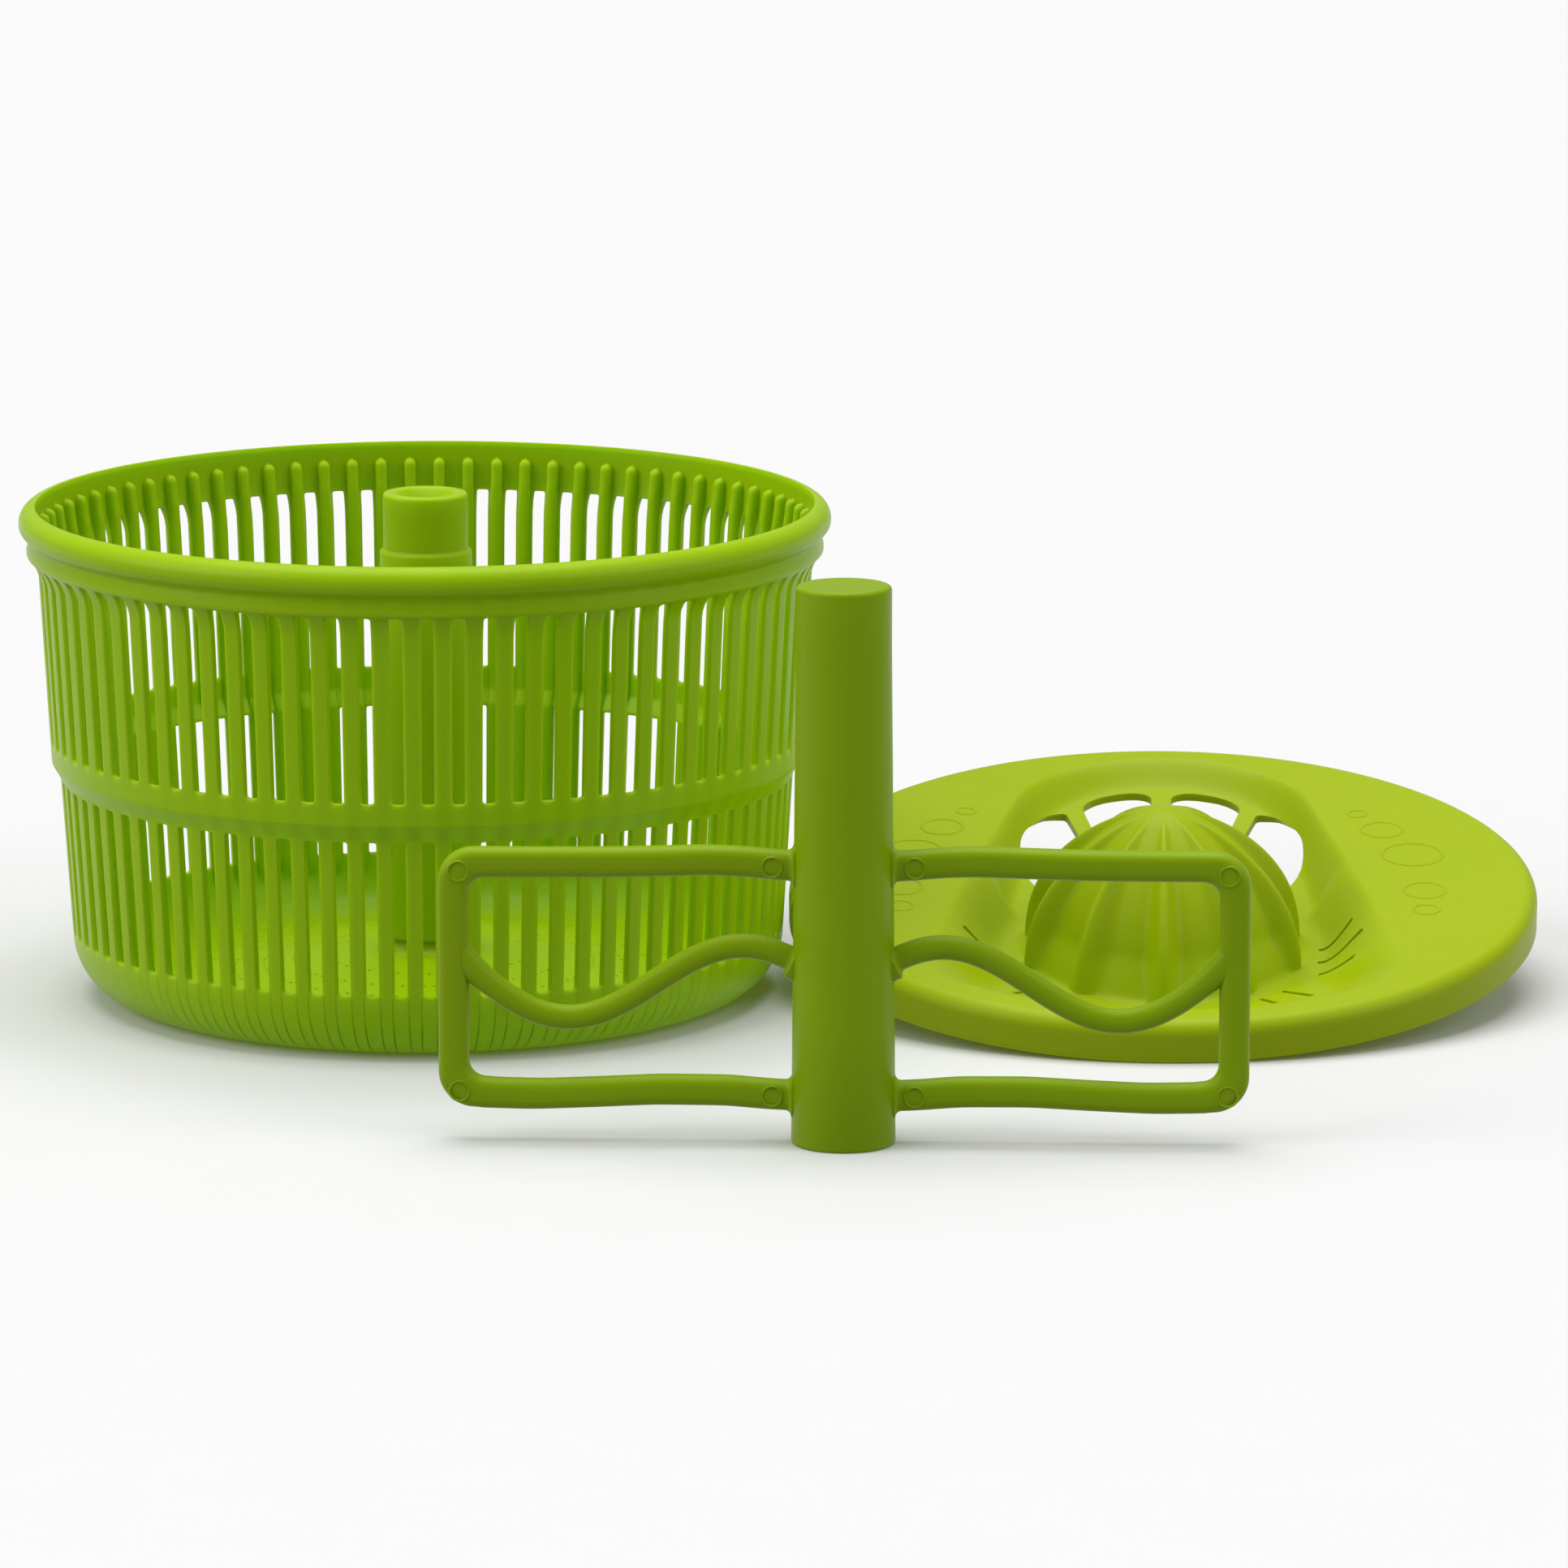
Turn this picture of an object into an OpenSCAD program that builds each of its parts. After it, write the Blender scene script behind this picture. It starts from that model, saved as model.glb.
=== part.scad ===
/* [Basket] */
// Outer diameter of the basket's rolled lip
rim_d = 215; // [180:1:260]
// Height of the basket, from the table to the top of the lip
basket_h = 131.5; // [105:0.5:160]
// Height of the solid collar under the lip
collar_h = 12.5; // [10:0.1:16]
// Height of the lip itself
lip_h = 8.7; // [6:0.1:9]
// How far the lip stands out beyond the collar
lip_out = 2; // [1:0.1:4]
// How far the collar stands out beyond the slotted wall
collar_out = 3.2; // [2:0.1:5]
// Height of the sweep from the collar in to the slotted wall
sweep_h = 7; // [4:0.5:10]
// Wall thickness of the basket
wall_t = 2.6; // [2:0.1:4]
// Radius lost by draft over the upper wall
upper_draft = 2.6; // [1:0.1:5]
// Height of the lower edge of the belt between the two rows of slots
belt_z = 59.5; // [45:0.5:70]
// Height of the belt
belt_h = 9.7; // [6:0.1:14]
// How far the wall steps in under the belt
belt_step = 2.3; // [1.5:0.1:4]
// Height of the slope under the belt
belt_slope_h = 4; // [2:0.1:5]
// Radius lost by draft over the lower wall
lower_draft = 2.7; // [1:0.1:5]
// Radius of the round corner between wall and floor
corner_r = 17; // [12:0.5:24]

/* [Slots] */
// Number of slots round each row
slot_count = 80; // [40:2:96]
// Width of a slot
slot_w = 3.3; // [2:0.1:4]
// Solid wall left above and below each slot
slot_margin = 0.8; // [0.5:0.1:3]

/* [Floor and column] */
// Thickness of the basket floor
floor_t = 2.4; // [2:0.1:4]
// Width of the flat ring that the basket stands on
base_ring_w = 4; // [3:0.5:8]
// Height of the floor's top where it meets the column
hub_z = 11.5; // [10:0.5:16]
// Outer diameter of the centre column
column_d = 24.4; // [20:0.1:30]
// Height of the step where the column narrows
column_step_z = 119; // [95:0.5:130]
// How far the column's narrow drive end steps in all round
drive_step = 0.95; // [0.5:0.05:1.5]
// Length of the column's narrow drive end
drive_end_h = 15; // [10:0.5:20]
// Wall thickness of the column
column_wall = 2; // [1.5:0.1:3]
// Diameter of the bore in the drive socket
socket_bore_d = 9; // [6:0.1:12]
// Diameter of the drive socket's countersunk mouth
socket_mouth_d = 15.8; // [13:0.1:17]
// Depth of the countersink
socket_mouth_h = 4; // [2:0.5:6]
// Length of the drive socket
socket_h = 14; // [8:0.5:14]

/* [Pivots] */
// Diameter of the pivot pins
pin_d = 8; // [6:0.1:10]
// Radial running clearance round a pivot pin
pin_clear = 0.05; // [0.02:0.01:0.1]
// Length of a pivot bush
bush_h = 14; // [10:0.5:20]
// Diameter of the basket's pivot foot
foot_d = 30; // [24:0.5:40]
// Thickness of a pivot foot's disc
foot_t = 3; // [2:0.5:5]
// Diameter of the shoulder that carries the basket
shoulder_d = 16; // [14:0.5:18]
// Gap between a shoulder and the bush that turns on it
thrust_gap = 0.05; // [0.02:0.01:0.2]

/* [Mixing paddle] */
// Gap that the turning paddle leaves to the basket and to the lid
paddle_gap = 2.15; // [1:0.05:10]
// Height of the paddle's shaft
shaft_h = 140; // [110:0.5:160]
// Diameter of the shaft at the table
shaft_bottom_d = 25.9; // [22:0.1:30]
// Diameter of the shaft's straight drive end
shaft_top_d = 23.6; // [18:0.1:26]
// Length of the straight drive end
shaft_top_h = 15; // [10:0.5:20]
// Inside diameter of the shaft
shaft_bore_d = 19.6; // [16:0.1:20]
// Thickness of the shaft's closed top
shaft_cap_t = 3; // [2:0.5:6]
// Distance from the axis to the wing's outer edge
wing_reach = 100.3; // [75:0.1:101]
// Width of the arms and of the outer bar
arm_w = 7.6; // [5:0.1:10]
// Thickness of the wings, front to back
wing_t = 6.2; // [4:0.5:8]
// Height of the lower arm's underside
wing_bottom_z = 8.4; // [5:0.1:12]
// Height of the upper arm's top
wing_top_z = 74.1; // [60:0.1:85]
// Outside corner radius of a wing
wing_corner_r = 9; // [6:0.1:12]
// Inside corner radius of a wing
wing_inner_r = 4.2; // [2:0.1:6]
// Width of the waved middle bar
wave_w = 6.2; // [4:0.1:8]
// Distance from the axis to the wave's crest
crest_x = 24.8; // [20:0.1:30]
// Height of the wave's crest
crest_z = 49.5; // [42:0.1:54]
// Distance from the axis to the wave's trough
trough_x = 68.1; // [58:0.1:74]
// Height of the wave's trough
trough_z = 31.2; // [26:0.1:36]
// Height at which the wave meets the outer bar
wave_end_z = 47.9; // [40:0.1:52]

/* [Juicer lid] */
// Diameter of the lid
lid_d = 200; // [170:1:230]
// Gap between the lid's edge and the basket's lower wall
lid_gap = 0.9; // [0.5:0.1:10]
// Distance of the lid's centre behind the basket's axis
lid_y = 11; // [8:1:60]
// Tilt of the lid as it stands on its skirt and its two rest feet
lid_tilt = 10; // [6:0.5:12]
// Height of the skirt
skirt_h = 11; // [9:0.5:16]
// Wall thickness of the lid
lid_t = 2.2; // [1.8:0.1:3]
// Radius of the lid's top edge
lid_edge_r = 4; // [2.5:0.5:6]
// Width of the flat margin in front of the juice well
well_margin = 10; // [7:0.5:16]
// Radius of the well's round back end
well_back_r = 40; // [34:0.5:44]
// Distance of the back end's centre behind the lid's centre
well_back_y = 50; // [40:0.5:52]
// Radius of the well's front corners
well_corner_r = 20; // [14:0.5:26]
// Direction of the front corners, in degrees from the lid's right
well_corner_a = 53; // [45:1:60]
// Depth of the well round the reamer
well_depth = 14.5; // [12:0.1:15]
// Diameter of the reamer's foot
reamer_d = 77; // [64:0.5:84]
// Distance of the reamer's axis in front of the lid's centre
reamer_y = -15; // [-18:0.5:-8]
// Height of the reamer's tip above the lid
reamer_tip_z = 28; // [20:0.5:36]
// Number of flutes on the reamer
flute_count = 10; // [6:1:14]
// Radius of a flute
flute_r = 7; // [5:0.5:9]
// Depth of a flute
flute_depth = 1.6; // [0.8:0.1:1.8]
// Radius of the round strainer area behind the reamer
window_r = 37.5; // [32:0.5:38]
// Distance of that area's centre behind the lid's centre
window_y = 42; // [36:0.5:44]
// Width of the ribs between the strainer windows
rib_w = 4; // [3:0.5:6]
// Angle between one rib and the next
rib_angle = 16; // [12:1:20]
// Solid width between the reamer and the strainer openings
window_gap = 3; // [2:0.5:5]
// Number of narrow juice slots in front of the reamer
juice_slot_count = 12; // [6:2:16]
// Width of a juice slot
juice_slot_w = 1.6; // [1.2:0.1:2.5]
// Length of a juice slot
juice_slot_l = 11; // [6:0.5:12]
// Distance of a rest foot from the lid's middle line
rest_x = 58; // [54:1:66]
// Distance of a rest foot's front end behind the lid's centre
rest_y = 14; // [8:1:20]
// Length of a rest foot, front to back
rest_l = 34; // [20:1:40]

/* [Hidden] */
$fn = 96;
basket_green = [0.49, 0.66, 0.02];
paddle_green = [0.47, 0.60, 0.02];
lid_green = [0.65, 0.72, 0.11];
pivot_white = [0.93, 0.93, 0.90];
// far enough to pass through any piece
reach = 400;
overlap = 0.5;

// levels and radii of the basket, from the lip down
lip_r = rim_d / 2;
collar_r = lip_r - lip_out;
wall_r = collar_r - collar_out;
belt_r = wall_r - upper_draft;
under_belt_r = belt_r - belt_step;
corner_top_r = under_belt_r - lower_draft;
base_r = corner_top_r - corner_r;
collar_z = basket_h - collar_h;
sweep_z = collar_z - sweep_h;
belt_top_z = belt_z + belt_h;
collar_inner_r = collar_r - wall_t;
lip_edge_r = lip_h / 2;

// column and pivots
column_r = column_d / 2;
drive_end_d = column_d - 2 * drive_step;
column_bore_r = column_r - column_wall;
hub_under_z = hub_z - floor_t;
column_top_z = column_step_z + drive_end_h;
pin_r = pin_d / 2;
bush_bore_r = pin_r + pin_clear;
shaft_bore_r = shaft_bore_d / 2;
foot_side_gap = 0.4;

// lid
lid_r = lid_d / 2;
lid_z = lid_r * sin(lid_tilt) + skirt_h * cos(lid_tilt);
beside_lid_r = corner_top_r + lower_draft * (lid_z - corner_r) / (belt_z - corner_r);
lid_x = sqrt(pow(beside_lid_r + lid_r + lid_gap, 2) - pow(lid_y, 2));
well_front_r = lid_r - well_margin;
corner_reach = well_front_r - well_corner_r;
reamer_r = reamer_d / 2;
reamer_wall = 4;
// narrow flat rim by which the well joins the lid
flange_w = 0.6;

// the paddle stands where its sweep just clears both the basket and the lid
basket_to_lid = norm([lid_x, lid_y]);
basket_to_paddle = lip_r + wing_reach + paddle_gap;
lid_to_paddle = lid_r + wing_reach + paddle_gap;
paddle_along = (pow(basket_to_paddle, 2) - pow(lid_to_paddle, 2) + pow(basket_to_lid, 2))
    / (2 * basket_to_lid);
paddle_across = sqrt(pow(basket_to_paddle, 2) - pow(paddle_along, 2));
paddle_x = (paddle_along * lid_x + paddle_across * lid_y) / basket_to_lid;
paddle_y = (paddle_along * lid_y - paddle_across * lid_x) / basket_to_lid;

// points of an arc, from angle a0 to a1
function arc(centre, r, a0, a1, steps) =
    [for (i = [0 : steps]) let (a = a0 + (a1 - a0) * i / steps) centre + r * [cos(a), sin(a)]];

// ---- basket ----

// the slots of one row, as bars that point outwards
module slot_row(z0, z1) {
    for (i = [0 : slot_count - 1])
        rotate(i * 360 / slot_count)
            translate([base_r / 2, -slot_w / 2, z0])
                cube([lip_r, slot_w, z1 - z0]);
}

// collar with the rolled lip on top
module basket_rim() {
    lip_z = basket_h - lip_edge_r;
    lip_round = lip_edge_r - 1;
    color(basket_green)
        rotate_extrude()
            polygon(concat(
                [[collar_inner_r, collar_z], [collar_r, collar_z], [collar_r - 0.7, basket_h - lip_h]],
                arc([lip_r - lip_round, basket_h - lip_h + lip_round], lip_round, -60, 0, 6),
                arc([lip_r - lip_edge_r, lip_z], lip_edge_r, 0, 90, 8),
                arc([collar_inner_r + 1, basket_h - 1], 1, 90, 180, 4)));
}

// upper slotted wall, with the sweep out to the collar and the belt at its foot
module upper_wall() {
    sweep_r = (collar_out * collar_out + sweep_h * sweep_h) / (2 * collar_out);
    sweep_a = asin(sweep_h / sweep_r);
    color(basket_green)
        difference() {
            rotate_extrude()
                polygon(concat(
                    [[under_belt_r - wall_t, belt_z], [under_belt_r, belt_z],
                     [belt_r, belt_z + belt_slope_h]],
                    arc([wall_r + sweep_r, sweep_z], sweep_r, 180, 180 - sweep_a, 8),
                    [[wall_r - wall_t, collar_z], [belt_r - wall_t, belt_z + belt_slope_h]]));
            slot_row(belt_top_z, collar_z - slot_margin);
        }
}

// lower slotted wall
module lower_wall() {
    color(basket_green)
        difference() {
            rotate_extrude()
                polygon([[corner_top_r, corner_r], [under_belt_r, belt_z],
                         [under_belt_r - wall_t, belt_z], [corner_top_r - wall_t, corner_r]]);
            slot_row(corner_r + slot_margin, belt_z - slot_margin);
        }
}

// rounded corner, base ring and the floor that rises to the hub
module floor_pan() {
    ring_inner_r = base_r - base_ring_w;
    color(basket_green)
        rotate_extrude()
            polygon(concat(
                arc([base_r, corner_r], corner_r, 0, -90, 16),
                [[ring_inner_r, 0], [column_r, hub_under_z], [column_r, hub_z],
                 [ring_inner_r, floor_t]],
                arc([base_r, corner_r], corner_r - wall_t, -90, 0, 16)));
}

// hollow column that carries the drive end
module centre_column() {
    color(basket_green)
        translate([0, 0, hub_under_z])
            difference() {
                cylinder(d = column_d, h = column_step_z - hub_under_z);
                translate([0, 0, -overlap])
                    cylinder(r = column_bore_r, h = column_step_z);
            }
}

// narrow top of the column, which the crank's cup drives
module column_drive_end() {
    color(basket_green)
        translate([0, 0, column_step_z])
            difference() {
                cylinder(d = drive_end_d, h = drive_end_h);
                translate([0, 0, -overlap])
                    cylinder(d = socket_mouth_d + 2, h = drive_end_h + 2 * overlap);
            }
}

// socket in the drive end, with a countersunk mouth
module drive_socket() {
    color(basket_green)
        translate([0, 0, column_top_z - socket_h])
            difference() {
                cylinder(d = socket_mouth_d + 2, h = socket_h);
                translate([0, 0, -overlap])
                    cylinder(d = socket_bore_d, h = socket_h + 2 * overlap);
                translate([0, 0, socket_h - socket_mouth_h])
                    cylinder(d1 = socket_bore_d, d2 = socket_mouth_d, h = socket_mouth_h);
            }
}

// bush that turns on a pivot pin
module bush(outer_r) {
    difference() {
        cylinder(r = outer_r, h = bush_h);
        translate([0, 0, -overlap])
            cylinder(r = bush_bore_r, h = bush_h + 2 * overlap);
    }
}

// bush in the foot of the column
module basket_bush() {
    color(pivot_white)
        translate([0, 0, hub_under_z])
            bush(column_bore_r);
}

// pivot pin with a domed end
module pivot_pin(length) {
    cylinder(r = pin_r, h = length - pin_r);
    translate([0, 0, length - pin_r])
        sphere(r = pin_r);
}

// foot that stands still while the basket turns on it
module pivot_foot() {
    shoulder_z = hub_under_z - thrust_gap;
    color(pivot_white) {
        cylinder(d = foot_d, h = foot_t);
        cylinder(d = shoulder_d, h = shoulder_z);
        pivot_pin(shoulder_z + bush_h);
    }
}

// ---- mixing paddle ----

module place_paddle() {
    translate([paddle_x, paddle_y, 0])
        children();
}

module shaft_outside() {
    cylinder(d1 = shaft_bottom_d, d2 = shaft_top_d, h = shaft_h - shaft_top_h);
    translate([0, 0, shaft_h - shaft_top_h])
        cylinder(d = shaft_top_d, h = shaft_top_h);
}

// tapered tube, open below and closed on top
module paddle_shaft() {
    color(paddle_green)
        place_paddle()
            difference() {
                shaft_outside();
                translate([0, 0, -overlap])
                    cylinder(r = shaft_bore_r, h = shaft_h - shaft_cap_t + overlap);
            }
}

module rounded_plate(x0, z0, x1, z1, r) {
    translate([x0 + r, z0])
        square([x1 - x0 - 2 * r, z1 - z0]);
    translate([x0, z0 + r])
        square([x1 - x0, z1 - z0 - 2 * r]);
    for (x = [x0 + r, x1 - r], z = [z0 + r, z1 - r])
        translate([x, z])
            circle(r = r);
}

// height of the waved bar's centre line at a distance x from the axis
wave_span = 2 * (wing_reach - trough_x);
function wave_z(x) =
    x < trough_x
        ? (crest_z + trough_z) / 2
            + (crest_z - trough_z) / 2 * cos(180 * (x - crest_x) / (trough_x - crest_x))
        : trough_z + wave_rise * (1 - cos(180 * (x - trough_x) / wave_span)) / 2;
wave_end_x = wing_reach - arm_w / 2;
wave_rise = 2 * (wave_end_z - trough_z) / (1 - cos(180 * (wave_end_x - trough_x) / wave_span));

// a point beside the centre line, half the bar's width away along the normal
function wave_edge(x, side) =
    let (slope = wave_z(x + 0.1) - wave_z(x - 0.1), n = [-slope, 0.2] / norm([slope, 0.2]))
    [x, wave_z(x)] + side * n * wave_w / 2;

module wave_bar() {
    steps = 28;
    xs = [for (i = [0 : steps]) 8 + (wave_end_x - 8) * i / steps];
    polygon(concat([for (x = xs) wave_edge(x, 1)],
                   [for (i = [steps : -1 : 0]) wave_edge(xs[i], -1)]));
}

// flat piece of the wing, standing upright
module wing_plate() {
    rotate([90, 0, 0])
        linear_extrude(height = wing_t, center = true)
            children();
}

// one wing: a rounded frame with the waved bar across it
module wing() {
    difference() {
        wing_plate()
            difference() {
                rounded_plate(-wing_corner_r, wing_bottom_z, wing_reach, wing_top_z,
                              wing_corner_r);
                rounded_plate(-wing_corner_r, wing_bottom_z + arm_w,
                              wing_reach - arm_w, wing_top_z - arm_w, wing_inner_r);
                translate([-reach, 0])
                    square([reach, reach]);
            }
        shaft_outside();
    }
    difference() {
        wing_plate()
            wave_bar();
        shaft_outside();
    }
}

module right_wing() {
    color(paddle_green)
        place_paddle()
            wing();
}

module left_wing() {
    color(paddle_green)
        place_paddle()
            mirror([1, 0, 0])
                wing();
}

// bush in the foot of the shaft
module paddle_bush() {
    color(pivot_white)
        place_paddle()
            translate([0, 0, foot_t + thrust_gap])
                bush(shaft_bore_r);
}

// foot inside the shaft, which stands still while the paddle turns
module paddle_foot() {
    color(pivot_white)
        place_paddle() {
            cylinder(r = shaft_bore_r - foot_side_gap, h = foot_t);
            pivot_pin(foot_t + bush_h);
        }
}

// ---- juicer lid ----

module place_lid() {
    translate([lid_x, lid_y, lid_z])
        rotate([lid_tilt, 0, 0])
            children();
}

// outline of the juice well, moved inwards by an inset
module well_outline(inset) {
    corner = corner_reach * [cos(well_corner_a), -sin(well_corner_a)];
    gap = corner - [0, well_back_y];
    side_a = acos((well_back_r - well_corner_r) / norm(gap)) + atan2(gap[1], gap[0]);
    right = concat(
        arc([0, 0], well_front_r - inset, -90, -well_corner_a, 8),
        arc(corner, well_corner_r - inset, -well_corner_a, side_a, 8),
        arc([0, well_back_y], well_back_r - inset, side_a, 90, 12));
    last = len(right) - 1;
    polygon(concat(right, [for (i = [last - 1 : -1 : 1]) [-right[i][0], right[i][1]]]));
}

// bowl between the well's outline at the top and a circle round the reamer
module well_bowl(inset, depth) {
    hull() {
        translate([0, 0, -0.1])
            linear_extrude(height = 0.1)
                well_outline(inset);
        translate([0, reamer_y, -depth])
            cylinder(r = reamer_r + window_gap - inset, h = 0.1, $fn = 48);
    }
}

// flat disc with a rounded edge and a skirt, open where the well sits
module lid_plate() {
    color(lid_green)
        place_lid()
            difference() {
                rotate_extrude()
                    polygon(concat(
                        [[0, -lid_t], [lid_r - lid_t - 1, -lid_t], [lid_r - lid_t, -lid_t - 1],
                         [lid_r - lid_t, -skirt_h], [lid_r, -skirt_h]],
                        arc([lid_r - lid_edge_r, -lid_edge_r], lid_edge_r, 0, 90, 8),
                        [[0, 0]]));
                translate([0, 0, -skirt_h])
                    linear_extrude(height = skirt_h + overlap)
                        well_outline(0);
            }
}

// strainer windows behind the reamer
module windows() {
    difference() {
        translate([0, window_y])
            circle(r = window_r);
        translate([0, reamer_y])
            circle(r = reamer_r + window_gap);
        for (a = [-rib_angle, 0, rib_angle])
            translate([0, reamer_y])
                rotate(a)
                    translate([-rib_w / 2, 0])
                        square([rib_w, reach]);
    }
}

// narrow slots that fan out in front of the reamer
module juice_slots() {
    for (i = [0 : juice_slot_count - 1])
        translate([0, reamer_y])
            rotate(180 + 180 * (i + 0.5) / juice_slot_count)
                translate([reamer_r + window_gap, -juice_slot_w / 2])
                    square([juice_slot_l, juice_slot_w]);
}

// a cut of the given outline through the whole depth of the well
module through_well() {
    translate([0, 0, -well_depth - 2 * lid_t])
        linear_extrude(height = well_depth + 2 * lid_t + overlap)
            children();
}

// juice well with its strainer openings and the hole that the reamer fills
module juice_well() {
    color(lid_green)
        place_lid()
            difference() {
                union() {
                    translate([0, 0, -lid_t])
                        linear_extrude(height = lid_t)
                            well_outline(0);
                    well_bowl(flange_w, well_depth + lid_t);
                }
                translate([0, 0, overlap])
                    well_bowl(flange_w + lid_t, well_depth + overlap);
                through_well()
                    windows();
                through_well()
                    juice_slots();
                through_well()
                    translate([0, reamer_y])
                        circle(r = reamer_r);
            }
}

// fluted dome
module reamer() {
    foot_z = -well_depth - lid_t;
    rise = reamer_tip_z - foot_z;
    steps = 14;
    // the flutes are deepest half way up, and lean with the dome there
    flute_t = 0.55;
    flute_lean = atan((dome_r(0.3, 0) - dome_r(0.8, 0)) / (rise * 0.5));
    function dome_r(t, wall) = (reamer_r - wall) * pow(1 - pow(t, 2.2), 0.62);
    color(lid_green)
        place_lid()
            translate([0, reamer_y, foot_z])
                difference() {
                    rotate_extrude()
                        polygon(concat([[0, 0]],
                            [for (i = [0 : steps]) let (t = i / steps) [dome_r(t, 0), rise * t]]));
                    translate([0, 0, -overlap])
                        rotate_extrude()
                            polygon(concat([[0, 0]],
                                [for (i = [0 : steps]) let (t = i / steps)
                                    [dome_r(t, reamer_wall), (rise - reamer_wall) * t]]));
                    for (i = [0 : flute_count - 1])
                        rotate((i + 0.5) * 360 / flute_count)
                            translate([dome_r(flute_t, 0), 0, rise * flute_t])
                                rotate([0, -flute_lean, 0])
                                    translate([flute_r - flute_depth, 0, 0])
                                        cylinder(r = flute_r, h = rise, center = true);
                }
}

// upright fin under the lid, cut level with the table, that helps to carry the lid's back
module rest_foot(side) {
    color(lid_green)
        intersection() {
            place_lid()
                translate([side * rest_x - lid_t / 2, rest_y, -lid_r])
                    cube([lid_t, rest_l, lid_r - lid_t]);
            translate([lid_x - lid_r, lid_y - lid_r, 0])
                cube([lid_d, lid_d, lid_r]);
        }
}

module left_rest_foot() {
    rest_foot(-1);
}

module right_rest_foot() {
    rest_foot(1);
}

basket_rim();
upper_wall();
lower_wall();
floor_pan();
centre_column();
column_drive_end();
drive_socket();
basket_bush();
pivot_foot();
paddle_shaft();
left_wing();
right_wing();
paddle_bush();
paddle_foot();
lid_plate();
juice_well();
reamer();
left_rest_foot();
right_rest_foot();
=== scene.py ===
import math

import bmesh
import bpy
import numpy as np
from mathutils import Matrix, Vector


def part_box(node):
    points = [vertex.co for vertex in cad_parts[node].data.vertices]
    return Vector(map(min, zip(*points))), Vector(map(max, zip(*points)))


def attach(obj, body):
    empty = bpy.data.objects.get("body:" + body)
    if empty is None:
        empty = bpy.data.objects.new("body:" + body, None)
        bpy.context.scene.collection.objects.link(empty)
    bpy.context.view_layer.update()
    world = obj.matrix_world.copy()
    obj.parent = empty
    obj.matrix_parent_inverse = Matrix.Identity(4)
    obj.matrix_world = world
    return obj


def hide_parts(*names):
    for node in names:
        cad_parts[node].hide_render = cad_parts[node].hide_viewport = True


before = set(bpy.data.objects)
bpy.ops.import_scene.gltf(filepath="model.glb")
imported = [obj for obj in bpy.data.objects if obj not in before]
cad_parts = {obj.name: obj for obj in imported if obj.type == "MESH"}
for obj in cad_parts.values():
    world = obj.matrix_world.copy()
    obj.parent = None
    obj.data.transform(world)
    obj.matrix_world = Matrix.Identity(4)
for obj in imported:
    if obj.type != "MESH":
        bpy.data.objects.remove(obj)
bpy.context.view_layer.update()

MM = 0.001
TURNED_STEPS = 96  # points round a turned part
ROWS_NEAR = 3  # rings of points between the reamer and the lid's openings
ROWS_OPEN = 12  # rings of points across the openings

# ---- sizes of the three mouldings, in millimetres ----
# basket wall
LIP_R = 107.5
LIP_IN_R = 103.0
LIP_ROLL_R = 3.2
LIP_CROWN_R = 4.35
COLLAR_R = 105.5
WALL_R = 102.3
BELT_R = 99.7
UNDER_BELT_R = 97.4
CORNER_TOP_R = 94.7
CORNER_R = 17.0
BASE_R = CORNER_TOP_R - CORNER_R
BASE_RING_W = 4.0
RING_IN_R = BASE_R - BASE_RING_W
BASKET_H = 131.5
LIP_H = 8.7
COLLAR_Z = 119.0
SWEEP_Z = 112.0
BELT_Z = 59.5
BELT_SLOPE_H = 4.0
BELT_TOP_Z = 69.2
FLOOR_T = 2.4
HUB_Z = 11.5
SHELL_T = 1.6
RIB_PROUD = 1.5
RIB_HALF = 1.65
RIB_FOOT_Z = CORNER_R - 3
RIB_HEAD_Z = 127.0
SLOTS = 80
SLOT_HALF_OUT = 1.85
SLOT_HALF_IN = 1.6
SLOT_CORNER = 0.6
SLOT_MARGIN = 0.8
EDGE = 0.3

# basket floor and column
FLOOR_JOIN_R = 72.0
FLOOR_JOIN_STEP = 0.05
HOLE_RINGS = (32, 40, 48, 56, 64)
HOLE_RING_W = 8
HOLE_R = 0.55
HUB_R = 22.0
HUB_FILLET_R = 3.6
HUB_FILLET_Z = HUB_Z + 3.1
COLUMN_R = 12.2
COLUMN_STEP_Z = 119.0
DRIVE_R = 11.25
COLUMN_TOP_Z = 134.0
COLUMN_BORE_R = 10.2
SOCKET_R = 4.5
SOCKET_H = 14.0
MOUTH_R = 7.9
MOUTH_H = 4.0

# mixing paddle
SHAFT_H = 140.0
SHAFT_FOOT_R = 12.95
SHAFT_TOP_R = 11.8
SHAFT_TOP_H = 15.0
SHAFT_BORE_R = 9.8
WING_REACH = 100.3
ARM_W = 7.6
WING_T = 6.2
WING_LOW = 8.4
WING_HIGH = 74.1
WING_CORNER = 9.0
WING_INNER = 4.2
ARM_START_X = 10.0
ARM_END_X = 88.0
ARM_EDGE_R = 2.5
FLARE_R = 1.5
WAVE_W = 6.2
CREST = (24.8, 49.5)
TROUGH = (68.1, 31.2)
WAVE_END_Z = 47.9
WAVE_EDGE_R = 2.75
PIN_MARK_R = 2.45
PIN_MARK_LINE_R = 0.3
PIN_MARKS = ((95.0, 68.4), (95.0, 12.9), (17.6, 70.0), (17.6, 12.2))

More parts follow.
